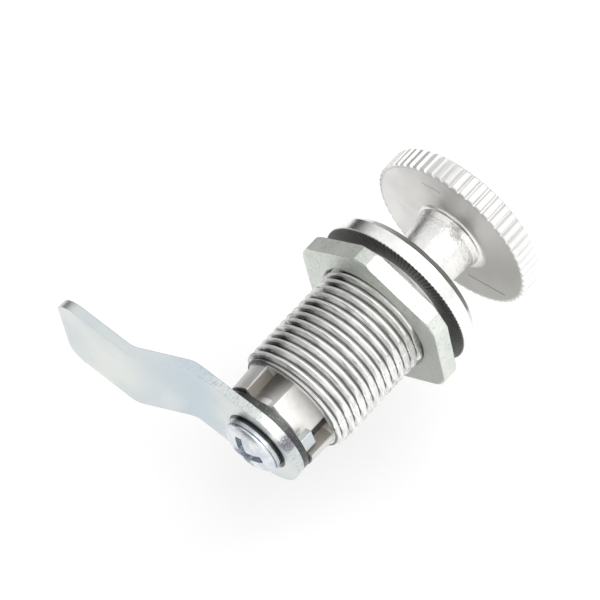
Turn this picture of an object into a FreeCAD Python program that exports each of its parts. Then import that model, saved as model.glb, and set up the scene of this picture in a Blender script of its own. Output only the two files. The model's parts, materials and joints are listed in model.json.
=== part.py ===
"""Knob-operated cam lock: a keyless quarter-turn latch for a cabinet door.

The lock axis runs along Y. The knob is at the front (-Y) and the cam at the rear (+Y).
The origin is on the axis, in the plane of the flange's rear face, which seats on the panel.
X is square to the two flats of the barrel. All sizes are in millimetres.
"""
import FreeCAD, Part
import math
import os

from FreeCAD import Vector

# Lock body: flange, threaded double-D barrel and two stop prongs
FLANGE_RADIUS = 14.15
FLANGE_RIM_LENGTH = 2.4
FLANGE_LENGTH = 3.7
FLANGE_FACE_RADIUS = 12.9
FLANGE_EDGE = 0.2
SERRATION_COUNT = 120
SERRATION_DEPTH = 0.3
SERRATION_INNER_RADIUS = 11.4
BARREL_LENGTH = 24.8
BARREL_END_CHAMFER = 0.9
THREAD_RADIUS = 9.95
THREAD_PITCH = 1.5
THREAD_DEPTH = 0.95
THREAD_START = 0.175
THREAD_START_ANGLE = 90.0
FLAT_DISTANCE = 9.15
MOULD_LINE_WIDTH = 0.14
MOULD_LINE_HEIGHT = 0.06
PIT_RADIUS = 0.18
PIT_DEPTH = 0.2
PIT_FIRST_Y = 4.3
PIT_LAST_Y = 22.5
FLANGE_SEAM_ANGLES = (196.4, 252.0)
FLANGE_SEAM_WIDTH = 0.1
FLANGE_SEAM_DEPTH = 0.06
PRONG_ROOT_Y = 22.8
PRONG_TIP_Y = 30.0
PRONG_ROOT_RADIUS = 8.7
PRONG_TIP_RADIUS = 8.35
PRONG_SPAN = 59.0
PRONG_ANGLES = (138.0, 318.0)
STEM_BORE_RADIUS = 4.85
REAR_BORE_RADIUS = 6.25
REAR_BORE_Y = 14.5
MOUTH_RADIUS = 7.9
MOUTH_DEPTH = 1.5

# Hexagonal panel nut, parked a little behind the flange
NUT_WIDTH = 27.4
NUT_THICKNESS = 3.0
NUT_FRONT_Y = 2.2
NUT_BORE_RADIUS = 10.05
NUT_BORE_CHAMFER = 0.35
NUT_CORNER_RADIUS = 15.15
NUT_FACE_RADIUS = 14.75
NUT_CORNER_ANGLE = 25.5

# Knob with its tapered stem
KNOB_RADIUS = 15.0
KNOB_REAR_Y = -14.1
KNOB_FRONT_Y = -18.2
KNOB_TOOTH_COUNT = 57
KNOB_TOOTH_DEPTH = 0.55
KNOB_SLIDE_LINES = ((-9.1, -1.3, -9.7), (-0.4, 3.4, 11.0))
KNOB_LINE_WIDTH = 0.16
KNOB_LINE_DEPTH = 0.12
KNOB_EDGE = 0.4
KNOB_DISH_RADIUS = 11.5
KNOB_DISH_DEPTH = 0.7
STEM_RADIUS = 4.75
STEM_KNOB_RADIUS = 5.75
STEM_COLLAR_RADIUS = 6.3
STEM_COLLAR_LENGTH = 0.45
STEM_FILLET = 1.0
STEM_SHOULDER_RADIUS = 6.4
STEM_SHOULDER_LENGTH = 0.8
STEM_SHOULDER_GAP = 0.12
STEM_REAR_Y = 20.6

# Stem seal
SEAL_GROOVE_Y = 0.8
SEAL_GROOVE_WIDTH = 1.7
SEAL_SECTION_RADIUS = 0.64
SEAL_CENTRE_RADIUS = 4.08

# Wave washer, thrust washer and retaining ring behind the bore's step
RING_GROOVE_RADIUS = 4.1
RING_OUTER_RADIUS = 6.0
RING_THICKNESS = 0.9
RING_CLEARANCE = 0.03
RING_OPENING = 70.0
WASHER_INNER_RADIUS = 4.9
WASHER_OUTER_RADIUS = 6.05
THRUST_WASHER_THICKNESS = 0.5
WAVE_THICKNESS = 0.3
WAVE_HEIGHT = 0.9
WAVE_COUNT = 3
WAVE_CLEARANCE = 0.05

# Spindle: round tang pinned into the stem, square block, round seat and a smaller square tail
TANG_RADIUS = 2.9
TANG_CLEARANCE = 0.03
TANG_FRONT_Y = 8.0
BLOCK_WIDTH = 7.65
BLOCK_FRONT_Y = 20.75
BLOCK_REAR_Y = 28.8
BLOCK_CORNER_RADIUS = 5.3
TAIL_WIDTH = 6.0
TAIL_CORNER_RADIUS = 3.9
TAIL_LENGTH = 4.3
TAIL_CLEARANCE = 0.05
STOP_SEAT_RADIUS = 4.4
SCREW_HOLE_RADIUS = 2.1
SCREW_HOLE_DEPTH = 10.0
PIN_RADIUS = 1.0
PIN_CLEARANCE = 0.02
PIN_Y = 12.0
PIN_LENGTH = 9.0

# Stop washer with its bent tab
STOP_FRONT_Y = 30.4
STOP_THICKNESS = 1.2
STOP_RADIUS = 8.2
TAB_WIDTH = 2.8
TAB_INNER_RADIUS = 6.1
TAB_OUTER_RADIUS = 7.3
TAB_TIP_Y = 27.7
TAB_ANGLE = 197.0

# Cranked cam
CAM_THICKNESS = 1.6
CAM_HALF_WIDTH = 8.3
CAM_REACH = 37.2
CAM_CRANK = 4.2
CAM_CRANK_START = 13.0
CAM_CRANK_END = 22.0
CAM_BEND_RADIUS = 4.0
CAM_TIP_TOP_Z = 5.6
CAM_TIP_BOTTOM_Z = -6.2
CAM_TIP_LEAN = 1.0
CAM_SHOULDER_X = 32.5
CAM_REST_ANGLE = -14.0

# Screw and split washer
SPLIT_WASHER_INNER_RADIUS = 2.6
SPLIT_WASHER_OUTER_RADIUS = 5.3
SPLIT_WASHER_THICKNESS = 1.1
SPLIT_GAP = 0.9
SPLIT_GAP_ANGLE = 178.0
SPLIT_GAP_LEAN = 30.0
SCREW_HEAD_RADIUS = 5.05
SCREW_HEAD_RIM = 0.45
SCREW_HEAD_HEIGHT = 1.6
SCREW_HEAD_EDGE = 0.15
SCREW_SHANK_RADIUS = 2.45
SCREW_TAP_RADIUS = 2.05
SCREW_LENGTH = 10.0
RECESS_WIDTH = 1.8
RECESS_REACH = 4.0
RECESS_FLOOR_REACH = 2.1
RECESS_DEPTH = 1.3
RECESS_TURN = 25.0

ORIGIN = Vector(0, 0, 0)
AXIS = Vector(0, 1, 0)

STOP_REAR_Y = STOP_FRONT_Y + STOP_THICKNESS
CAM_REAR_Y = STOP_REAR_Y + CAM_THICKNESS
HEAD_FRONT_Y = CAM_REAR_Y + SPLIT_WASHER_THICKNESS
TAIL_REAR_Y = BLOCK_REAR_Y + TAIL_LENGTH


def rod(radius, front, rear):
    """Solid cylinder on the lock axis."""
    return Part.makeCylinder(radius, rear - front, Vector(0, front, 0), AXIS)


def ring(inner, outer, front, rear):
    """Plain ring on the lock axis."""
    return rod(outer, front, rear).cut(rod(inner, front - 1, rear + 1))


def block(x_low, x_high, y_low, y_high, z_low, z_high):
    """Box between two corners."""
    size = (x_high - x_low, y_high - y_low, z_high - z_low)
    return Part.makeBox(*size, Vector(x_low, y_low, z_low))


def turned(shape, angle):
    """Copy of a shape, turned about the lock axis; positive takes +X towards -Z."""
    copy = shape.copy()
    copy.rotate(ORIGIN, AXIS, angle)
    return copy


def lathe(profile):
    """Solid of revolution of a closed (radius, y) outline about the lock axis."""
    points = [Vector(radius, y, 0) for radius, y in profile]
    face = Part.Face(Part.makePolygon(points + points[:1]))
    return face.revolve(ORIGIN, AXIS, 360)


def prism(outline, front, rear):
    """Solid with an (x, z) outline, drawn along the lock axis."""
    points = [Vector(x, front, z) for x, z in outline]
    face = Part.Face(Part.makePolygon(points + points[:1]))
    return face.extrude(Vector(0, rear - front, 0))


def sector(inner, outer, front, rear, centre_angle, span):
    """Piece of a ring between two radial faces."""
    face = Part.Face(Part.makePolygon([
        Vector(inner, front, 0), Vector(outer, front, 0),
        Vector(outer, rear, 0), Vector(inner, rear, 0), Vector(inner, front, 0)]))
    return turned(face.revolve(ORIGIN, AXIS, span), centre_angle - span / 2)


def square_bar(width, corner_radius, front, rear):
    """Square bar with its diagonals along X and Z and its corners turned round."""
    half = width / 2
    bar = turned(block(-half, half, front, rear, -half, half), 45)
    return bar.common(rod(corner_radius, front, rear))


def thread_groove(radius, depth, pitch, start, end):
    """Helical groove with sloping flanks and a rounded crest, as a cutting solid."""
    half_widths = [(radius + 0.4, 0.73), (radius + 0.03, 0.67), (radius - 0.14, 0.47),
                   (radius - 0.8 * depth, 0.17), (radius - depth, 0.07)]
    upper = [Vector(r, 0, half) for r, half in half_widths]
    lower = [Vector(r, 0, -half) for r, half in reversed(half_widths)]
    profile = Part.makePolygon(upper + lower + upper[:1])
    helix = Part.makeLongHelix(pitch, end - start, radius, 0.0)
    groove = Part.Wire(helix.Edges).makePipeShell([profile], True, True)
    groove.rotate(ORIGIN, Vector(1, 0, 0), -90)
    groove.translate(Vector(0, start, 0))
    return groove


def prong(angle):
    """Stop prong: a tapered ring segment that stands out of the barrel's rear face."""
    body = lathe([(REAR_BORE_RADIUS, PRONG_ROOT_Y), (PRONG_ROOT_RADIUS, PRONG_ROOT_Y),
                  (PRONG_TIP_RADIUS, PRONG_TIP_Y - 0.2), (PRONG_TIP_RADIUS - 0.2, PRONG_TIP_Y),
                  (REAR_BORE_RADIUS, PRONG_TIP_Y)])
    return body.common(sector(0.5, 20, PRONG_ROOT_Y, PRONG_TIP_Y, angle, PRONG_SPAN))


def serration():
    """One radial V-groove of the flange's rear face."""
    half = math.pi * FLANGE_RADIUS / SERRATION_COUNT * 0.8
    tip = Part.makePolygon([Vector(SERRATION_INNER_RADIUS, -SERRATION_DEPTH * 0.5, 0),
                            Vector(SERRATION_INNER_RADIUS, 0.3, half * 0.9),
                            Vector(SERRATION_INNER_RADIUS, 0.3, -half * 0.9),
                            Vector(SERRATION_INNER_RADIUS, -SERRATION_DEPTH * 0.5, 0)])
    rim = Part.makePolygon([Vector(FLANGE_RADIUS + 1, -SERRATION_DEPTH, 0),
                            Vector(FLANGE_RADIUS + 1, 0.3, half * 1.3),
                            Vector(FLANGE_RADIUS + 1, 0.3, -half * 1.3),
                            Vector(FLANGE_RADIUS + 1, -SERRATION_DEPTH, 0)])
    return Part.makeLoft([tip, rim], True, True)


def flange():
    """Round flange with a bevelled front edge and fine radial serrations on its rear face."""
    body = lathe([
        (STEM_BORE_RADIUS, -FLANGE_LENGTH),
        (FLANGE_FACE_RADIUS, -FLANGE_LENGTH),
        (FLANGE_RADIUS, -FLANGE_RIM_LENGTH),
        (FLANGE_RADIUS, -FLANGE_EDGE),
        (FLANGE_RADIUS - FLANGE_EDGE, 0),
        (STEM_BORE_RADIUS, 0)])
    notch = serration()
    step = 360 / SERRATION_COUNT
    seam = block(FLANGE_RADIUS - FLANGE_SEAM_DEPTH, FLANGE_RADIUS + 1, -FLANGE_RIM_LENGTH, 0.5,
                 -FLANGE_SEAM_WIDTH / 2, FLANGE_SEAM_WIDTH / 2)
    body = body.cut([turned(notch, i * step) for i in range(SERRATION_COUNT)])
    return body.cut([turned(seam, angle) for angle in FLANGE_SEAM_ANGLES])


def barrel():
    """Threaded barrel with two flats, bored for the stem, counterbored and countersunk from the rear."""
    body = lathe([
        (STEM_BORE_RADIUS, 0),
        (THREAD_RADIUS, 0),
        (THREAD_RADIUS, BARREL_LENGTH - BARREL_END_CHAMFER),
        (THREAD_RADIUS - BARREL_END_CHAMFER, BARREL_LENGTH),
        (MOUTH_RADIUS, BARREL_LENGTH),
        (REAR_BORE_RADIUS, BARREL_LENGTH - MOUTH_DEPTH),
        (REAR_BORE_RADIUS, REAR_BORE_Y),
        (STEM_BORE_RADIUS, REAR_BORE_Y)])
    flat = block(FLAT_DISTANCE, THREAD_RADIUS + 1, -1, BARREL_LENGTH + 1, -THREAD_RADIUS, THREAD_RADIUS)
    body = body.cut([flat, turned(flat, 180)])
    groove = thread_groove(THREAD_RADIUS, THREAD_DEPTH, THREAD_PITCH,
                           THREAD_START + THREAD_PITCH / 2, BARREL_LENGTH + THREAD_PITCH)
    body = body.cut(turned(groove, THREAD_START_ANGLE))
    return body.fuse([mould_line(), turned(mould_line(), 180)]).cut(pits())


def mould_line():
    """Thin raised line along the middle of a flat, where the two halves of the mould met."""
    half = MOULD_LINE_WIDTH / 2
    return block(FLAT_DISTANCE - 0.3, FLAT_DISTANCE + MOULD_LINE_HEIGHT,
                 -0.3, BARREL_LENGTH - BARREL_END_CHAMFER, -half, half)


def pits():
    """Small casting pits on the -X flat's mould line, one to each turn of the thread."""
    count = int((PIT_LAST_Y - PIT_FIRST_Y) / THREAD_PITCH) + 1
    pit = Part.makeCone(PIT_RADIUS * 1.4, PIT_RADIUS * 0.6, 2 * PIT_DEPTH,
                        Vector(-FLAT_DISTANCE - PIT_DEPTH, PIT_FIRST_Y, 0), Vector(1, 0, 0))
    return [pit.translated(Vector(0, i * THREAD_PITCH, 0)) for i in range(count)]


def lock_body():
    return barrel().fuse([flange()] + [prong(angle) for angle in PRONG_ANGLES])


def hex_nut():
    rear = NUT_FRONT_Y + NUT_THICKNESS
    corner = NUT_WIDTH / 2 / math.cos(math.radians(30))
    outline = [(corner * math.cos(math.radians(60 * i)), corner * math.sin(math.radians(60 * i)))
               for i in range(6)]
    body = turned(prism(outline, NUT_FRONT_Y, rear), NUT_CORNER_ANGLE)
    slope = (NUT_CORNER_RADIUS - NUT_FACE_RADIUS) * 0.55
    envelope = lathe([
        (0, NUT_FRONT_Y), (NUT_FACE_RADIUS, NUT_FRONT_Y), (NUT_CORNER_RADIUS, NUT_FRONT_Y + slope),
        (NUT_CORNER_RADIUS, rear - slope), (NUT_FACE_RADIUS, rear), (0, rear)])
    bore = lathe([
        (0, NUT_FRONT_Y - 1),
        (NUT_BORE_RADIUS + NUT_BORE_CHAMFER + 1, NUT_FRONT_Y - 1),
        (NUT_BORE_RADIUS, NUT_FRONT_Y + NUT_BORE_CHAMFER),
        (NUT_BORE_RADIUS, rear - NUT_BORE_CHAMFER),
        (NUT_BORE_RADIUS + NUT_BORE_CHAMFER + 1, rear + 1),
        (0, rear + 1)])
    return body.common(envelope).cut(bore)


def knob():
    shoulder_rear = -FLANGE_LENGTH - STEM_SHOULDER_GAP
    seal_low = SEAL_GROOVE_Y - SEAL_GROOVE_WIDTH / 2
    seal_high = SEAL_GROOVE_Y + SEAL_GROOVE_WIDTH / 2
    seal_floor = SEAL_CENTRE_RADIUS - SEAL_SECTION_RADIUS
    ring_front = ring_front_y()
    collar_rear = KNOB_REAR_Y + STEM_COLLAR_LENGTH
    body = lathe([
        (0, KNOB_FRONT_Y + KNOB_DISH_DEPTH),
        (KNOB_DISH_RADIUS - KNOB_DISH_DEPTH, KNOB_FRONT_Y + KNOB_DISH_DEPTH),
        (KNOB_DISH_RADIUS, KNOB_FRONT_Y),
        (KNOB_RADIUS - KNOB_EDGE, KNOB_FRONT_Y),
        (KNOB_RADIUS, KNOB_FRONT_Y + KNOB_EDGE),
        (KNOB_RADIUS, KNOB_REAR_Y - KNOB_EDGE / 2),
        (KNOB_RADIUS - KNOB_EDGE / 2, KNOB_REAR_Y),
        (STEM_COLLAR_RADIUS + STEM_FILLET, KNOB_REAR_Y),
        (STEM_COLLAR_RADIUS + STEM_FILLET * 0.3, KNOB_REAR_Y + STEM_FILLET * 0.12),
        (STEM_COLLAR_RADIUS, collar_rear),
        (STEM_KNOB_RADIUS + STEM_FILLET * 0.3, collar_rear + STEM_FILLET * 0.12),
        (STEM_KNOB_RADIUS, collar_rear + STEM_FILLET),
        (STEM_RADIUS, shoulder_rear - STEM_SHOULDER_LENGTH - 0.6),
        (STEM_SHOULDER_RADIUS, shoulder_rear - STEM_SHOULDER_LENGTH),
        (STEM_SHOULDER_RADIUS, shoulder_rear),
        (STEM_RADIUS, shoulder_rear),
        (STEM_RADIUS, seal_low),
        (seal_floor, seal_low),
        (seal_floor, seal_high),
        (STEM_RADIUS, seal_high),
        (STEM_RADIUS, ring_front),
        (RING_GROOVE_RADIUS, ring_front),
        (RING_GROOVE_RADIUS, ring_front + RING_THICKNESS),
        (STEM_RADIUS, ring_front + RING_THICKNESS),
        (STEM_RADIUS, STEM_REAR_Y),
        (TANG_RADIUS + TANG_CLEARANCE, STEM_REAR_Y),
        (TANG_RADIUS + TANG_CLEARANCE, TANG_FRONT_Y - 0.5),
        (0, TANG_FRONT_Y - 0.5)])
    body = body.cut(cross_hole())
    gap_half = math.pi * KNOB_RADIUS / KNOB_TOOTH_COUNT
    root = KNOB_RADIUS - KNOB_TOOTH_DEPTH
    notch = prism([(root, -gap_half * 0.1), (KNOB_RADIUS + 0.3, -gap_half * 0.8),
                   (KNOB_RADIUS + 0.3, gap_half * 0.8), (root, gap_half * 0.1)],
                  KNOB_FRONT_Y - 1, KNOB_REAR_Y + 0.2)
    step = 360 / KNOB_TOOTH_COUNT
    body = body.cut([turned(notch, i * step) for i in range(KNOB_TOOTH_COUNT)])
    return body.cut([turned(line, -CAM_REST_ANGLE) for line in slide_lines()])


def slide_lines():
    """Fine grooves on the knob's rear face, left by the edges of the mould's slides."""
    half = KNOB_LINE_WIDTH / 2
    return [block(x_low, x_high, KNOB_REAR_Y - KNOB_LINE_DEPTH, KNOB_REAR_Y + 0.5, z - half, z + half)
            for x_low, x_high, z in KNOB_SLIDE_LINES]


def cross_hole():
    """Hole for the drive pin, square to the lock axis."""
    base = Vector(0, PIN_Y, -2 * STEM_RADIUS)
    return Part.makeCylinder(PIN_RADIUS + PIN_CLEARANCE, 4 * STEM_RADIUS, base, Vector(0, 0, 1))


def ring_front_y():
    """Front face of the retaining ring, behind the step, wave washer and thrust washer."""
    return REAR_BORE_Y + WAVE_HEIGHT + THRUST_WASHER_THICKNESS + 0.1


def stem_seal():
    centre = Vector(SEAL_CENTRE_RADIUS, SEAL_GROOVE_Y, 0)
    circle = Part.makeCircle(SEAL_SECTION_RADIUS, centre, Vector(0, 0, 1))
    return Part.Face(Part.Wire(circle)).revolve(ORIGIN, AXIS, 360)


def wave_washer():
    """Spring washer with three waves, made of ring segments between its low and high points."""
    swing = (WAVE_HEIGHT - WAVE_THICKNESS) / 2 - WAVE_CLEARANCE
    middle = REAR_BORE_Y + WAVE_HEIGHT / 2
    sections = []
    samples = 8 * WAVE_COUNT
    for i in range(samples + 1):
        angle = 360 * i / samples
        y = middle + swing * math.cos(math.radians(WAVE_COUNT * angle))
        corners = [Vector(WASHER_INNER_RADIUS, y - WAVE_THICKNESS / 2, 0),
                   Vector(WASHER_OUTER_RADIUS, y - WAVE_THICKNESS / 2, 0),
                   Vector(WASHER_OUTER_RADIUS, y + WAVE_THICKNESS / 2, 0),
                   Vector(WASHER_INNER_RADIUS, y + WAVE_THICKNESS / 2, 0)]
        sections.append(turned(Part.makePolygon(corners + corners[:1]), angle))
    halves = [Part.makeLoft(sections[:samples // 2 + 1], True, False),
              Part.makeLoft(sections[samples // 2:], True, False)]
    return halves[0].fuse(halves[1])


def thrust_washer():
    front = REAR_BORE_Y + WAVE_HEIGHT
    return ring(WASHER_INNER_RADIUS, WASHER_OUTER_RADIUS, front, front + THRUST_WASHER_THICKNESS)


def retaining_ring():
    front = ring_front_y()
    rear = front + RING_THICKNESS
    body = ring(RING_GROOVE_RADIUS + RING_CLEARANCE, RING_OUTER_RADIUS, front, rear)
    return body.cut(sector(0.5, 10, front - 1, rear + 1, 90, RING_OPENING))


def spindle():
    tang = rod(TANG_RADIUS, TANG_FRONT_Y, BLOCK_FRONT_Y + 1)
    body = tang.fuse(square_bar(BLOCK_WIDTH, BLOCK_CORNER_RADIUS, BLOCK_FRONT_Y, BLOCK_REAR_Y))
    body = body.fuse(rod(STOP_SEAT_RADIUS, BLOCK_REAR_Y - 1, STOP_FRONT_Y))
    body = body.fuse(square_bar(TAIL_WIDTH, TAIL_CORNER_RADIUS, BLOCK_REAR_Y - 1, TAIL_REAR_Y))
    hole = rod(SCREW_HOLE_RADIUS, TAIL_REAR_Y - SCREW_HOLE_DEPTH, TAIL_REAR_Y + 1)
    return body.cut(hole).cut(cross_hole())


def drive_pin():
    half = PIN_LENGTH / 2
    chamfer = 0.2
    points = [(0, -half), (PIN_RADIUS - chamfer, -half), (PIN_RADIUS, -half + chamfer),
              (PIN_RADIUS, half - chamfer), (PIN_RADIUS - chamfer, half), (0, half)]
    pin = lathe(points)
    pin.rotate(ORIGIN, Vector(1, 0, 0), 90)
    pin.translate(Vector(0, PIN_Y, 0))
    return pin


def tail_hole():
    """Square hole that fits over the spindle's tail."""
    return square_bar(TAIL_WIDTH + 2 * TAIL_CLEARANCE, TAIL_CORNER_RADIUS + TAIL_CLEARANCE,
                      STOP_FRONT_Y - 1, CAM_REAR_Y + 1)


def stop_washer():
    disc = rod(STOP_RADIUS, STOP_FRONT_Y, STOP_REAR_Y)
    half = TAB_WIDTH / 2
    tab = block(TAB_INNER_RADIUS, TAB_OUTER_RADIUS, TAB_TIP_Y, STOP_REAR_Y, -half, half)
    return disc.fuse(turned(tab, TAB_ANGLE)).cut(tail_hole()).removeSplitter()


def cam_outline():
    """Flat outline of the cam: round hub, straight sides and an oblique rounded tip."""
    w = CAM_HALF_WIDTH
    hub = Part.Arc(Vector(0, 0, w), Vector(-w, 0, 0), Vector(0, 0, -w)).toShape()
    top_tip = Vector(CAM_REACH, 0, CAM_TIP_TOP_Z)
    bottom_tip = Vector(CAM_REACH - CAM_TIP_LEAN, 0, CAM_TIP_BOTTOM_Z)
    top_shoulder = Vector(CAM_SHOULDER_X, 0, w)
    bottom_shoulder = Vector(CAM_SHOULDER_X, 0, -w)
    top_round = Part.Arc(top_shoulder, Vector(CAM_SHOULDER_X + 3.2, 0, w - 0.9), top_tip).toShape()
    bottom_round = Part.Arc(bottom_shoulder, Vector(CAM_SHOULDER_X + 2.4, 0, 0.45 - w), bottom_tip).toShape()
    edges = [hub, Part.makeLine(Vector(0, 0, -w), bottom_shoulder), bottom_round,
             Part.makeLine(bottom_tip, top_tip), top_round, Part.makeLine(top_shoulder, Vector(0, 0, w))]
    return Part.Face(Part.Wire(Part.__sortEdges__(edges)))


def cam_side():
    """Side view of the cranked plate, as a solid wider than the cam."""
    tip_y = CAM_REAR_Y + CAM_CRANK
    rear = [Vector(-12, CAM_REAR_Y, 0), Vector(CAM_CRANK_START, CAM_REAR_Y, 0),
            Vector(CAM_CRANK_END, tip_y, 0), Vector(CAM_REACH + 5, tip_y, 0)]
    slope = math.atan2(CAM_CRANK, CAM_CRANK_END - CAM_CRANK_START)
    shift = CAM_THICKNESS * math.tan(slope / 2)
    front = [rear[0] + Vector(0, -CAM_THICKNESS, 0), rear[1] + Vector(shift, -CAM_THICKNESS, 0),
             rear[2] + Vector(shift, -CAM_THICKNESS, 0), rear[3] + Vector(0, -CAM_THICKNESS, 0)]
    plate = Part.Face(Part.makePolygon(rear + front[::-1] + rear[:1]))
    plate.translate(Vector(0, 0, -20))
    solid = plate.extrude(Vector(0, 0, 40))
    inner = [edge for edge in solid.Edges if near_any(edge, [rear[1], front[2]])]
    solid = solid.makeFillet(CAM_BEND_RADIUS, inner)
    outer = [edge for edge in solid.Edges if near_any(edge, [rear[2], front[1]])]
    return solid.makeFillet(CAM_BEND_RADIUS + CAM_THICKNESS, outer)


def near_any(edge, points):
    """True for an edge along Z that passes over one of the points."""
    middle = edge.CenterOfMass
    if abs(middle.z) > 0.01 or abs(edge.Length - 40) > 0.01:
        return False
    return any(math.hypot(middle.x - p.x, middle.y - p.y) < 0.01 for p in points)


def cam():
    outline = cam_outline()
    outline.translate(Vector(0, CAM_REAR_Y - CAM_THICKNESS - 1, 0))
    blank = outline.extrude(Vector(0, CAM_CRANK + CAM_THICKNESS + 3, 0))
    return blank.common(cam_side()).cut(tail_hole())


def split_washer():
    rear = CAM_REAR_Y + SPLIT_WASHER_THICKNESS
    body = ring(SPLIT_WASHER_INNER_RADIUS, SPLIT_WASHER_OUTER_RADIUS, CAM_REAR_Y, rear)
    gap = block(0, 10, CAM_REAR_Y - 2, rear + 2, -SPLIT_GAP / 2, SPLIT_GAP / 2)
    gap.rotate(Vector(0, (CAM_REAR_Y + rear) / 2, 0), Vector(1, 0, 0), SPLIT_GAP_LEAN)
    return body.cut(turned(gap, SPLIT_GAP_ANGLE))


def cam_screw():
    crown = HEAD_FRONT_Y + SCREW_HEAD_HEIGHT
    rim = HEAD_FRONT_Y + SCREW_HEAD_RIM
    shoulder = Vector(SCREW_HEAD_RADIUS * 0.72, rim + (crown - rim) * 0.72, 0)
    points = [Vector(0, crown, 0), Vector(0, HEAD_FRONT_Y, 0),
              Vector(SCREW_HEAD_RADIUS - SCREW_HEAD_EDGE, HEAD_FRONT_Y, 0),
              Vector(SCREW_HEAD_RADIUS, HEAD_FRONT_Y + SCREW_HEAD_EDGE, 0), Vector(SCREW_HEAD_RADIUS, rim, 0)]
    edges = [Part.makeLine(start, end) for start, end in zip(points, points[1:])]
    edges.append(Part.Arc(points[-1], shoulder, points[0]).toShape())
    head = Part.Face(Part.Wire(edges)).revolve(ORIGIN, AXIS, 360)
    end = HEAD_FRONT_Y - SCREW_LENGTH
    shank = rod(SCREW_SHANK_RADIUS, TAIL_REAR_Y + 0.05, HEAD_FRONT_Y + 0.5)
    shank = shank.fuse(rod(SCREW_TAP_RADIUS, end, HEAD_FRONT_Y))
    return head.fuse(shank).cut(recess(crown)).removeSplitter()


def recess(crown):
    """Tapered cross recess of the screw head."""
    floor = crown - RECESS_DEPTH
    half = RECESS_WIDTH / 2
    tip = half * 0.8
    wing = prism([(0, -half), (RECESS_REACH, -tip), (RECESS_REACH, tip), (0, half)], floor, crown + 1)
    slope = (RECESS_REACH - RECESS_FLOOR_REACH) / RECESS_DEPTH
    cone = Part.makeCone(RECESS_FLOOR_REACH, RECESS_REACH + slope, RECESS_DEPTH + 1,
                         Vector(0, floor, 0), AXIS)
    cross = wing
    for quarter in (90, 180, 270):
        cross = cross.fuse(turned(wing, quarter))
    return turned(cross.common(cone), RECESS_TURN)


FIXED_NODES = {
    "lock_body": lock_body,
    "hex_nut": hex_nut,
    "wave_washer": wave_washer,
    "thrust_washer": thrust_washer,
}

TURNING_NODES = {
    "knob": knob,
    "stem_seal": stem_seal,
    "retaining_ring": retaining_ring,
    "spindle": spindle,
    "drive_pin": drive_pin,
    "stop_washer": stop_washer,
    "cam": cam,
    "split_washer": split_washer,
    "cam_screw": cam_screw,
}


def build():
    """All nodes in their places; what turns with the knob stands at the cam's rest angle."""
    shapes = {name: make() for name, make in FIXED_NODES.items()}
    for name, make in TURNING_NODES.items():
        shapes[name] = turned(make(), CAM_REST_ANGLE)
    return shapes


os.makedirs("parts", exist_ok=True)
for node, shape in build().items():
    box = shape.BoundBox
    print(f"{node}: valid {shape.isValid()}, solids {len(shape.Solids)}, volume {shape.Volume:.1f} mm3, "
          f"x {box.XMin:.2f}..{box.XMax:.2f}, y {box.YMin:.2f}..{box.YMax:.2f}, "
          f"z {box.ZMin:.2f}..{box.ZMax:.2f}")
    shape.exportStep(f"parts/{node}.step")
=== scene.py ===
"""Looks of a keyless quarter-turn cam lock: plated zinc castings, a pressed steel cam and its screw.

Everything is in the part's own frame, in metres: the lock axis is Y, the knob is at -Y, the flange's
rear face lies at y = 0 and the barrel's flats are square to X. Materials work in millimetres of that
same frame with the lock at rest, so that a mark stays on its piece when the lock moves. On the
turning pieces they are turned back about the axis, so that the cam points along +X.
"""

import json
import math

import bpy
from mathutils import Matrix, Vector


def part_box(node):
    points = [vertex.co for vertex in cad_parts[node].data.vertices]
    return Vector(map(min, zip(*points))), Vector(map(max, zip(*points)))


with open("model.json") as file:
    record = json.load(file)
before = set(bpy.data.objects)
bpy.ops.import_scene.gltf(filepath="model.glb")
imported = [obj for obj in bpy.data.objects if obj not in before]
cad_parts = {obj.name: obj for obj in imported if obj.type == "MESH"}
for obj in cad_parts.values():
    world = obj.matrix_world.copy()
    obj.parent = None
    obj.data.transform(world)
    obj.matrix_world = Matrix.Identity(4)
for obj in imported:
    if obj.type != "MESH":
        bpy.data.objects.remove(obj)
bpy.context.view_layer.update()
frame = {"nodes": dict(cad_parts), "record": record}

MM = 0.001
PER_MM = 1000.0


def corners(node):
    """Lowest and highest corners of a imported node, in millimetres."""
    return [Vector(corner) * PER_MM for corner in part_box(node)]


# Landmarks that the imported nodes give, in millimetres
FLANGE_RADIUS = corners("lock_body")[1].x
PRONG_TIP_Y = corners("lock_body")[1].y
NUT_REAR_Y = corners("hex_nut")[1].y
KNOB_RADIUS = corners("knob")[1].x
CAM_FRONT_Y = corners("cam")[0].y
CAM_HALF_WIDTH = -corners("cam")[0].x
CAM_REAR_Y = corners("split_washer")[0].y
WASHER_RADIUS = corners("split_washer")[1].x

# Sizes inside a node, which no box gives, in millimetres
BARREL_REAR_Y = 24.8
CREST_RADIUS = 9.95
ROOT_RADIUS = 9.0
FLAT_X = 9.15
FLANGE_RIM_Y = -2.4
KNOB_REAR_Y = -14.1
STEM_COLLAR_RADIUS = 6.3
SPINDLE_SEAT_Y = 29.6

# How the turning pieces stand about the lock axis at rest, in degrees
CAM_REST_ANGLE = -14.0

# The floor lies below the arm's lowest sweep
FLOOR_Z = -0.0385
FLOOR_SIZE = 6.0

# Camera: where it aims, and how it stands round the lock
CAMERA_AIM = Vector((0.01047, 0.01024, 0.00278))
CAMERA_DISTANCE = 0.4737
CAMERA_AZIMUTH = 237.9
CAMERA_ELEVATION = 50.9
CAMERA_ROLL = 20.4
CAMERA_LENS = 180.0
CAMERA_SENSOR = 36.0

# Studio: strength of the surroundings low down and overhead, and the heights between which they
# brighten on the -X side and on the +X side; a height is 0 at the horizon and 1 straight up
SKY_LOW = 0.08
SKY_HIGH = 1.30
SKY_RISE_LEFT = (-0.15, 0.05)
SKY_RISE_RIGHT = (0.12, 0.85)

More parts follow.
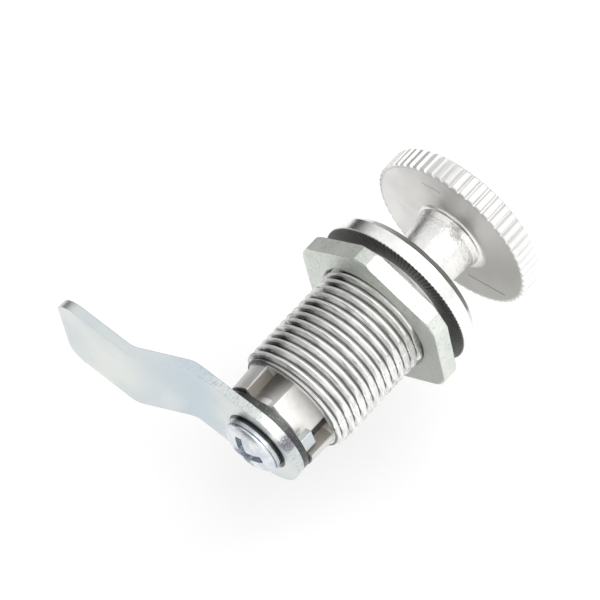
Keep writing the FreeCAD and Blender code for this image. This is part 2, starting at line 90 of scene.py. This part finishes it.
# Colours that several finishes share
RUBBED = (0.97, 0.97, 0.96)
# Black of the painted shadows between parts
SHADE_BLACK = (0.03, 0.035, 0.03)


def direction(azimuth, elevation):
    """Unit vector from the lock; azimuth 0 is the knob's end (-Y), 90 is +X, elevation is above level."""
    a = math.radians(azimuth)
    e = math.radians(elevation)
    return Vector((math.sin(a) * math.cos(e), -math.cos(a) * math.cos(e), math.sin(e)))


def facing(back, roll=0.0):
    """Rotation of a camera or lamp whose back points along a direction, rolled about it."""
    turn = back.to_track_quat("Z", "Y").to_matrix()
    return turn @ Matrix.Rotation(math.radians(-roll), 3, "Z")


# ---------------------------------------------------------------- node graphs


class Graph:
    """An empty node tree, with short calls for the nodes that are used here."""

    def __init__(self, tree):
        self.tree = tree
        self.tree.nodes.clear()

    def add(self, kind, **settings):
        """New node of a kind, with its settings."""
        node = self.tree.nodes.new(kind)
        for key, value in settings.items():
            setattr(node, key, value)
        return node

    def link(self, source, target):
        """Joins an output to an input."""
        self.tree.links.new(source, target)

    def feed(self, socket, value):
        """Links a socket, or sets a plain value."""
        if isinstance(value, bpy.types.NodeSocket):
            self.link(value, socket)
        else:
            socket.default_value = value

    def calc(self, operation, *values):
        """Arithmetic on one or two numbers."""
        node = self.add("ShaderNodeMath", operation=operation)
        for socket, value in zip(node.inputs, values):
            self.feed(socket, value)
        return node.outputs[0]

    def times(self, *values):
        """Product of numbers; of amounts from 0 to 1, it is where all of them hold."""
        product = values[0]
        for value in values[1:]:
            product = self.calc("MULTIPLY", product, value)
        return product

    def plus(self, *values):
        """Sum of numbers."""
        total = values[0]
        for value in values[1:]:
            total = self.calc("ADD", total, value)
        return total

    def vector(self, operation, a, b):
        """Arithmetic on two vectors; a dot product is a number."""
        node = self.add("ShaderNodeVectorMath", operation=operation)
        self.feed(node.inputs[0], a)
        self.feed(node.inputs[1], b)
        return node.outputs[1] if operation == "DOT_PRODUCT" else node.outputs[0]

    def length(self, vector):
        """Length of a vector."""
        node = self.add("ShaderNodeVectorMath", operation="LENGTH")
        self.feed(node.inputs[0], vector)
        return node.outputs[1]

    def away(self, here, point):
        """Distance from a point."""
        return self.length(self.vector("SUBTRACT", here, point))

    def place(self, turn=0.0):
        """Object coordinates in millimetres, turned back about the lock axis by degrees."""
        here = self.add("ShaderNodeTexCoord").outputs["Object"]
        node = self.add("ShaderNodeVectorMath", operation="SCALE")
        self.feed(node.inputs[0], here)
        node.inputs["Scale"].default_value = PER_MM
        if turn == 0.0:
            return node.outputs[0]
        turned = self.add("ShaderNodeVectorRotate", rotation_type="Y_AXIS")
        self.feed(turned.inputs["Vector"], node.outputs[0])
        turned.inputs["Angle"].default_value = math.radians(-turn)
        return turned.outputs[0]

    def split(self, vector):
        """x, y and z of a vector."""
        node = self.add("ShaderNodeSeparateXYZ")
        self.feed(node.inputs[0], vector)
        return node.outputs

    def join(self, x, y, z):
        """Vector of three numbers."""
        node = self.add("ShaderNodeCombineXYZ")
        for socket, value in zip(node.inputs, (x, y, z)):
            self.feed(socket, value)
        return node.outputs[0]

    def noise(self, vector, scale, detail=3.0, rough=0.55):
        """Soft noise from 0 to 1, with a number of features per millimetre."""
        node = self.add("ShaderNodeTexNoise")
        self.feed(node.inputs["Vector"], vector)
        node.inputs["Scale"].default_value = scale
        node.inputs["Detail"].default_value = detail
        node.inputs["Roughness"].default_value = rough
        node.inputs["Distortion"].default_value = 0.0
        return node.outputs["Fac"]

    def cells(self, vector, scale):
        """Distance to the nearest cell's centre, with a number of cells per millimetre."""
        node = self.add("ShaderNodeTexVoronoi", feature="F1")
        self.feed(node.inputs["Vector"], vector)
        node.inputs["Scale"].default_value = scale
        return node.outputs["Distance"]

    def step(self, value, low, high, to_low=0.0, to_high=1.0):
        """Smooth step of a value between two limits."""
        node = self.add("ShaderNodeMapRange", interpolation_type="SMOOTHSTEP", clamp=True)
        for socket, number in zip(node.inputs, (value, low, high, to_low, to_high)):
            self.feed(socket, number)
        return node.outputs[0]

    def band(self, value, centre, half, soft):
        """1 inside a band of a value, 0 outside."""
        distance = self.calc("ABSOLUTE", self.calc("SUBTRACT", value, centre))
        return self.step(distance, half, half + soft, 1.0, 0.0)

    def blend(self, amount, low, high):
        """Mix of two numbers."""
        node = self.add("ShaderNodeMix", data_type="FLOAT", clamp_factor=True)
        for socket, value in zip((node.inputs[0], node.inputs[2], node.inputs[3]), (amount, low, high)):
            self.feed(socket, value)
        return node.outputs[0]


class Finish(Graph):
    """A material with one principled shader, whose colour is laid on in coats and its relief in bumps."""

    def __init__(self, name):
        self.material = bpy.data.materials.new(name)
        self.material.use_nodes = True
        super().__init__(self.material.node_tree)
        self.shader = self.add("ShaderNodeBsdfPrincipled")
        output = self.add("ShaderNodeOutputMaterial")
        self.link(self.shader.outputs[0], output.inputs["Surface"])
        self.colour = None
        self.normal = None

    def axes(self, turn=0.0):
        """Coordinates in millimetres, x, y and z of them, and the distance from the lock axis."""
        here = self.place(turn)
        x, y, z = self.split(here)
        return here, x, y, z, self.length(self.join(x, 0.0, z))

    def ground(self, amount, low, high):
        """First colour: a mix of two."""
        self.colour = self.mix(amount, low, high)

    def coat(self, colour, *amounts):
        """Lays a colour over what is there, as thick as the product of the amounts."""
        self.colour = self.mix(self.times(*amounts), self.colour, colour)

    def mix(self, amount, low, high):
        """Mix of two colours."""
        node = self.add("ShaderNodeMix", data_type="RGBA", clamp_factor=True)
        self.feed(node.inputs[0], amount)
        for socket, colour in ((node.inputs[6], low), (node.inputs[7], high)):
            self.feed(socket, colour if isinstance(colour, bpy.types.NodeSocket) else (*colour, 1.0))
        return node.outputs[2]

    def rounded_edges(self, radius_mm):
        """Rounds the sharp edges in the shading; gives 1 on them and 0 on open faces."""
        bevel = self.add("ShaderNodeBevel", samples=4)
        bevel.inputs["Radius"].default_value = radius_mm * MM
        self.normal = bevel.outputs[0]
        flat_normal = self.add("ShaderNodeNewGeometry").outputs["Normal"]
        return self.step(self.vector("DOT_PRODUCT", self.normal, flat_normal), 0.995, 0.86)

    def bump(self, height, depth_mm):
        """Adds relief, in which a height of 1 stands for a depth in millimetres."""
        node = self.add("ShaderNodeBump")
        node.inputs["Strength"].default_value = 1.0
        node.inputs["Distance"].default_value = depth_mm * MM
        self.feed(node.inputs["Height"], height)
        if self.normal is not None:
            self.link(self.normal, node.inputs["Normal"])
        self.normal = node.outputs[0]

    def done(self, roughness, metallic=1.0):
        """Joins everything to the shader."""
        self.shader.inputs["Metallic"].default_value = metallic
        self.feed(self.shader.inputs["Base Color"], self.colour)
        self.feed(self.shader.inputs["Roughness"], roughness)
        self.feed(self.shader.inputs["Normal"], self.normal)
        return self.material


# ---------------------------------------------------------------- finishes


def cast_zinc():
    """Bright cast body: streaky threads with painted shade in their grooves and roots, a polished flange,
    painted brown shade inside the bore, brown prongs.
    """
    g = Finish("cast_zinc")
    here, x, y, z, radius = g.axes()
    clouds = g.noise(here, 0.35, 4.0)
    grain = g.noise(here, 6.0, 3.0, 0.6)
    streaks = g.noise(g.vector("MULTIPLY", here, (0.35, 4.0, 0.35)), 1.0, 4.0, 0.65)
    fine_lines = g.noise(g.vector("MULTIPLY", here, (0.2, 9.0, 0.2)), 1.0, 3.0, 0.6)
    edge = g.rounded_edges(0.09)

    # Where things are on the barrel
    thread = g.times(g.step(y, 0.05, 0.3), g.step(y, BARREL_REAR_Y + 0.5, BARREL_REAR_Y + 0.1))
    outer = g.step(radius, ROOT_RADIUS - 0.3, ROOT_RADIUS - 0.1)
    groove = g.times(g.step(radius, CREST_RADIUS - 0.2, CREST_RADIUS - 0.8), thread, outer)
    root = g.times(g.step(radius, ROOT_RADIUS + 0.3, ROOT_RADIUS + 0.08), thread, outer)
    shoulder = g.times(g.band(radius, CREST_RADIUS - 0.11, 0.02, 0.03), thread)
    flat = g.step(g.calc("ABSOLUTE", x), FLAT_X - 0.15, FLAT_X - 0.02)
    round_side = g.calc("SUBTRACT", 1.0, flat)

    g.ground(g.step(clouds, 0.35, 0.7), (0.95, 0.945, 0.93), (0.83, 0.83, 0.82))
    g.coat((0.40, 0.395, 0.385), g.step(fine_lines, 0.52, 0.60), thread, 0.25)
    g.coat((0.36, 0.355, 0.35), g.step(streaks, 0.50, 0.66), thread, 0.6)
    # Painted shade in the thread's grooves and roots, and a painted dark line along each crest's shoulder
    g.coat((0.40, 0.39, 0.38), groove, round_side, 0.12)
    g.coat((0.07, 0.07, 0.065), root, round_side, 0.85)
    g.coat((0.22, 0.21, 0.20), shoulder, g.step(streaks, 0.40, 0.6, 0.2, 0.75))

    # Painted shade in the casting pits, in a row along the middle of the -X flat
    below_flat = g.times(g.step(x, 0.015 - FLAT_X, 0.06 - FLAT_X), g.step(x, 0.65 - FLAT_X, 0.35 - FLAT_X))
    g.coat((0.02, 0.02, 0.02), below_flat, g.step(g.calc("ABSOLUTE", z), 0.3, 0.24), 0.95)

    # Painted shade in the grooves on the +X side, in patches
    shaded_groove_side = g.times(g.step(x, 1.5, 4.0), g.step(x, 8.0, 6.2))
    below_crest = g.step(radius, CREST_RADIUS - 0.05, CREST_RADIUS - 0.45)
    patchy = g.step(g.plus(clouds, g.times(streaks, 0.5)), 0.55, 0.8)
    g.coat((0.05, 0.05, 0.052), shaded_groove_side, below_crest, thread, patchy, 0.85)

    # Painted brown shade inside the bore; brown prongs, darker on their inner side, with black prong tips
    g.coat((0.36, 0.31, 0.26), g.step(radius, 8.6, 6.4), g.step(y, 14.0, 24.0), 0.6)
    prong = g.step(y, BARREL_REAR_Y + 0.05, BARREL_REAR_Y + 0.15)
    g.coat((0.24, 0.22, 0.195), prong, g.step(radius, 8.3, 8.1, 0.35, 0.85))
    g.coat((0.04, 0.038, 0.035), g.step(y, PRONG_TIP_Y - 0.3, PRONG_TIP_Y - 0.15), 0.85)

    # Grey bevel and rubbed edges on the flange, and painted shade on its rear face beside the nut
    g.coat((0.34, 0.33, 0.32), g.step(y, FLANGE_RIM_Y + 0.02, FLANGE_RIM_Y - 0.05), 0.75)
    g.coat(RUBBED, edge, 0.6)
    # Painted shade on the flange's rear face, around the barrel
    within_rim = g.step(radius, FLANGE_RADIUS - 0.02, FLANGE_RADIUS - 0.15)
    rear_ring = g.times(g.step(radius, 10.0, 10.4), within_rim)
    g.coat((0.07, 0.07, 0.07), g.step(g.calc("ABSOLUTE", y), 0.45, 0.3), rear_ring, 0.85)

    polished = g.step(y, -0.15, -0.3)
    rough = g.blend(polished, g.blend(streaks, 0.38, 0.58), g.blend(clouds, 0.10, 0.20))
    g.bump(grain, 0.012)
    g.bump(g.times(streaks, g.calc("SUBTRACT", 1.0, polished)), 0.03)
    g.bump(g.times(fine_lines, thread), 0.03)
    return g.done(g.blend(edge, rough, 0.2))


def satin_nickel():
    """Satin knob, with painted shade between its rim's teeth and on the lower side of its rear face, and a
    smoother, dented stem with a pitted patch.
    """
    g = Finish("satin_nickel")
    here, x, y, z, radius = g.axes(CAM_REST_ANGLE)
    clouds = g.noise(here, 0.22, 4.0)
    grain = g.noise(here, 9.0, 3.0, 0.65)
    dents = g.noise(here, 1.6, 3.0)
    edge = g.rounded_edges(0.09)
    behind_dish = g.step(y, KNOB_REAR_Y - 1.5, KNOB_REAR_Y - 0.9)
    stem = g.times(g.step(radius, STEM_COLLAR_RADIUS + 0.3, STEM_COLLAR_RADIUS), behind_dish)

    g.ground(g.step(clouds, 0.3, 0.7), (0.86, 0.85, 0.83), (0.78, 0.775, 0.76))
    # Painted shade between the rim's teeth
    tooth_gap = g.times(g.step(radius, KNOB_RADIUS - 0.15, KNOB_RADIUS - 0.5),
                        g.step(radius, KNOB_RADIUS - 0.8, KNOB_RADIUS - 0.6))
    g.coat((0.45, 0.45, 0.45), tooth_gap, 0.35)
    # Painted shade on the lower, -X side of the rear face
    shaded_face_side = g.step(g.plus(x, z, g.times(clouds, 8.0)), 8.0, -8.0)
    head_face = g.times(g.step(radius, 6.6, 7.4), g.step(radius, KNOB_RADIUS - 0.5, KNOB_RADIUS - 0.8))
    g.coat((0.36, 0.355, 0.33), shaded_face_side, head_face, 0.75)

    # Parting lines cut in the rear face, blacker towards -Z
    slit = g.times(g.band(y, KNOB_REAR_Y - 0.1, 0.06, 0.02), g.step(radius, 14.0, 13.8))
    g.coat((0.06, 0.06, 0.055), slit, g.step(z, 2.0, -2.0, 0.25, 0.9))

    # Pits on the stem, thickest in one patch near the head
    from_patch = g.away(here, (-2.5, -12.7, 5.4))
    pits = g.step(g.plus(grain, g.step(from_patch, 2.8, 0.6, 0.0, 0.22)), 0.60, 0.68)
    g.coat((0.12, 0.115, 0.11), stem, pits, g.step(from_patch, 3.0, 1.6, 0.3, 0.85))
    g.coat(RUBBED, edge, 0.5)

    g.bump(grain, 0.014)
    g.bump(g.times(dents, stem), 0.09)
    return g.done(g.blend(stem, g.blend(clouds, 0.40, 0.54), g.blend(dents, 0.14, 0.34)))


def zinc_plate():
    """Grey-green plating on a rough nut: painted shade low on its rear face, rubbed edges, a few dark
    flecks.
    """
    g = Finish("zinc_plate")
    here = g.place()
    x, y, z = g.split(here)
    clouds = g.noise(here, 0.3, 4.0)
    grain = g.noise(here, 4.5, 4.0, 0.7)
    flecks = g.noise(here, 2.4, 5.0, 0.8)
    edge = g.rounded_edges(0.16)

    g.ground(g.step(clouds, 0.3, 0.7), (0.76, 0.79, 0.74), (0.66, 0.69, 0.65))
    # Painted shade on the lower side of the rear face
    shaded_face_side = g.step(g.plus(x, z, g.times(clouds, 6.0)), 5.0, -9.0)
    g.coat((0.30, 0.31, 0.29), shaded_face_side, g.step(y, NUT_REAR_Y - 0.15, NUT_REAR_Y - 0.02), 0.7)
    g.coat((0.38, 0.40, 0.38), g.step(grain, 0.54, 0.70), 0.6)
    g.coat((0.90, 0.92, 0.90), edge, 0.75)
    g.coat((0.16, 0.17, 0.16), g.step(flecks, 0.585, 0.64), 0.75)

    g.bump(grain, 0.05)
    g.bump(g.cells(here, 1.4), 0.05)
    return g.done(g.blend(edge, g.blend(grain, 0.36, 0.56), 0.26))


def blue_zinc():
    """Blue-white plating on the cam and stop washer: bluer at the crank, dark outlines, torn sides."""
    g = Finish("blue_zinc")
    here, x, y, z, radius = g.axes(CAM_REST_ANGLE)
    clouds = g.noise(here, 0.10, 2.0, 0.4)
    blush = g.noise(g.vector("ADD", here, (31.0, 7.0, 3.0)), 0.12, 2.0, 0.4)
    grain = g.noise(here, 5.0, 4.0, 0.65)
    rolled = g.noise(g.vector("MULTIPLY", here, (0.25, 3.0, 1.0)), 1.2, 3.0, 0.6)
    torn = g.noise(g.vector("MULTIPLY", here, (3.0, 1.0, 3.0)), 1.0, 4.0, 0.7)
    edge = g.rounded_edges(0.16)

    g.ground(g.step(clouds, 0.32, 0.68), (0.69, 0.715, 0.69), (0.58, 0.625, 0.64))
    crank = g.step(g.plus(x, g.times(clouds, 5.0)), 27.0, 11.0)
    g.coat((0.45, 0.57, 0.66), crank, g.step(x, 6.0, 12.0, 0.0, 0.6))
    g.coat((0.86, 0.83, 0.79), g.step(blush, 0.56, 0.76), 0.25)
    g.coat((0.52, 0.58, 0.62), g.step(grain, 0.60, 0.80), 0.25)
    g.coat((0.93, 0.95, 0.96), edge, 0.7)

    # Painted shadow: a dark crescent on the cam beside the split washer
    from_washer = g.length(g.join(g.plus(x, 0.22), 0.0, g.calc("SUBTRACT", z, 0.44)))
    crescent = g.step(from_washer, WASHER_RADIUS + 0.45, WASHER_RADIUS + 0.25)
    g.coat(SHADE_BLACK, crescent, g.step(y, CAM_REAR_Y - 0.2, CAM_REAR_Y - 0.05), 0.92)

    # Painted dark reflection on the stop washer's rim, in front of the cam
    rim = g.times(g.step(radius, 7.7, 8.0), g.step(y, CAM_FRONT_Y + 0.02, CAM_FRONT_Y - 0.03))
    g.coat((0.035, 0.038, 0.035), rim, g.step(grain, 0.72, 0.6), 0.93)
    g.coat((0.22, 0.23, 0.22), g.band(edge, 0.35, 0.2, 0.12), 0.55)

    # Torn metal along the cam's sheared sides, fading towards its tip
    from_hub = g.length(g.join(g.calc("MINIMUM", x, 0.0), 0.0, z))
    side = g.times(g.step(from_hub, CAM_HALF_WIDTH - 0.1, CAM_HALF_WIDTH - 0.03), g.step(x, 19.0, 8.0))
    g.coat((0.36, 0.35, 0.37), side, g.step(torn, 0.47, 0.62), 0.55)

    # Dark purplish spot on the hub's rim
    burn = g.step(g.away(here, (-5.9, 32.4, 5.8)), 1.9, 0.9)
    g.coat((0.08, 0.065, 0.10), burn, g.step(grain, 0.38, 0.5), 0.8)

    g.bump(grain, 0.008)
    g.bump(rolled, 0.03)
    return g.done(g.blend(edge, g.blend(rolled, 0.24, 0.44), 0.2))


def screw_zinc():
    """Bright bluish plating on the screw and split washer: painted shade deep in the recess, a painted black
    shadow at the washer's foot.
    """
    g = Finish("screw_zinc")
    here, x, y, z, radius = g.axes(CAM_REST_ANGLE)
    clouds = g.noise(here, 0.6, 3.0)
    grain = g.noise(here, 7.0, 3.0, 0.6)
    edge = g.rounded_edges(0.10)

    g.ground(g.step(clouds, 0.35, 0.65), (0.76, 0.78, 0.79), (0.58, 0.62, 0.68))
    # Painted shade deep in the cross recess
    g.coat((0.24, 0.31, 0.40), g.step(y, 35.4, 34.7), g.step(radius, 3.9, 3.5), 0.4)
    # Painted shadow at the split washer's foot, on its upper side
    upper_side = g.step(g.calc("SUBTRACT", g.times(z, 0.895), g.times(x, 0.446)), 0.0, 3.0)
    washer_foot = g.step(y, CAM_REAR_Y + 0.65, CAM_REAR_Y + 0.45)
    washer_rim = g.step(radius, WASHER_RADIUS - 0.2, WASHER_RADIUS - 0.05)
    g.coat(SHADE_BLACK, upper_side, washer_foot, washer_rim, 0.92)
    g.coat((0.95, 0.96, 0.97), edge, 0.6)

    g.bump(grain, 0.010)
    return g.done(g.blend(clouds, 0.18, 0.34))


def bright_steel():
    """Pale nickel plating on the spindle, pin and thrust washer, with painted shade on the round seat behind
    the block.
    """
    g = Finish("bright_steel")
    here = g.place(CAM_REST_ANGLE)
    y = g.split(here)["Y"]
    clouds = g.noise(here, 0.35, 4.0)
    grain = g.noise(here, 6.0, 3.0, 0.6)
    edge = g.rounded_edges(0.12)

    g.ground(g.step(clouds, 0.4, 0.66), (0.97, 0.965, 0.95), (0.90, 0.875, 0.83))
    g.coat(RUBBED, edge, 0.5)
    # Painted shade on the round seat between the block and the stop washer
    g.coat((0.07, 0.065, 0.06), g.band(y, SPINDLE_SEAT_Y, 0.74, 0.04), 0.85)

    g.bump(grain, 0.004)
    return g.done(g.blend(grain, 0.28, 0.42), metallic=0.12)


def spring_steel():
    """Dark oiled spring steel, faintly clouded."""
    g = Finish("spring_steel")
    here = g.place()
    grain = g.noise(here, 8.0, 3.0, 0.6)
    g.ground(g.noise(here, 0.8, 3.0), (0.40, 0.40, 0.41), (0.24, 0.24, 0.26))
    g.bump(grain, 0.008)
    return g.done(g.blend(grain, 0.24, 0.42))


def seal_rubber():
    """Matt black nitrile rubber with a faint bloom."""
    g = Finish("seal_rubber")
    grain = g.noise(g.place(), 7.0, 3.0, 0.6)
    g.ground(grain, (0.018, 0.018, 0.019), (0.045, 0.045, 0.044))
    g.bump(grain, 0.01)
    return g.done(g.blend(grain, 0.55, 0.75), metallic=0.0)


FINISHES = {
    "cast_zinc": cast_zinc(),
    "satin_nickel": satin_nickel(),
    "zinc_plate": zinc_plate(),
    "blue_zinc": blue_zinc(),
    "screw_zinc": screw_zinc(),
    "bright_steel": bright_steel(),
    "spring_steel": spring_steel(),
    "seal_rubber": seal_rubber(),
}


def finish_nodes():
    """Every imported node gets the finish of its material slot."""
    for part in frame["record"]["subparts"]:
        mesh = frame["nodes"][part["node"]].data
        mesh.materials.clear()
        mesh.materials.append(FINISHES[part["material_slot"]])


# ---------------------------------------------------------------- studio


def floor():
    """Plain white floor, which isn't part of the lock."""
    bpy.ops.mesh.primitive_plane_add(size=FLOOR_SIZE, location=(0, 0, FLOOR_Z))
    plane = bpy.context.object
    plane.name = "floor"
    g = Finish("floor_white")
    g.shader.inputs["Base Color"].default_value = (0.95, 0.95, 0.95, 1.0)
    g.shader.inputs["Roughness"].default_value = 0.6
    g.shader.inputs["Specular IOR Level"].default_value = 0.1
    plane.data.materials.append(g.material)


def lamp(name, azimuth, elevation, distance, width, height, power):
    """White soft box of a width and height in metres, which shines at the lock with a power in watts."""
    data = bpy.data.lights.new(name, "AREA")
    data.shape = "RECTANGLE"
    data.size = width
    data.size_y = height
    data.energy = power
    box = bpy.data.objects.new(name, data)
    back = direction(azimuth, elevation)
    box.location = CAMERA_AIM + back * distance
    box.rotation_euler = facing(back).to_euler()
    bpy.context.scene.collection.objects.link(box)


def surroundings():
    """Pale studio: white overhead and almost down to the horizon at -X, dark low down at +X."""
    world = bpy.data.worlds.new("studio")
    bpy.context.scene.world = world
    world.use_nodes = True
    g = Graph(world.node_tree)
    background = g.add("ShaderNodeBackground")
    g.link(background.outputs[0], g.add("ShaderNodeOutputWorld").inputs[0])
    towards = g.split(g.add("ShaderNodeTexCoord").outputs["Generated"])
    right = g.step(towards["X"], -0.45, 0.55)
    dark_below, white_above = [g.blend(right, *ends) for ends in zip(SKY_RISE_LEFT, SKY_RISE_RIGHT)]
    g.link(g.step(towards["Z"], dark_below, white_above, SKY_LOW, SKY_HIGH), background.inputs["Strength"])


def camera():
    """Long lens that looks down at the cam's end, rolled so that the barrel leans to the right."""
    data = bpy.data.cameras.new("camera")
    data.lens = CAMERA_LENS
    data.sensor_width = CAMERA_SENSOR
    data.clip_start = 0.01
    data.clip_end = 20.0
    eye = bpy.data.objects.new("camera", data)
    back = direction(CAMERA_AZIMUTH, CAMERA_ELEVATION)
    eye.location = CAMERA_AIM + back * CAMERA_DISTANCE
    eye.rotation_euler = facing(back, CAMERA_ROLL).to_euler()
    bpy.context.scene.collection.objects.link(eye)
    bpy.context.scene.camera = eye


finish_nodes()
floor()
surroundings()
lamp("key", azimuth=294, elevation=50, distance=1.2, width=1.0, height=1.0, power=5.4)
lamp("fill", azimuth=252, elevation=24, distance=0.9, width=0.4, height=0.3, power=1.1)
camera()

view = bpy.context.scene.view_settings
view.view_transform = "Standard"
view.look = "None"
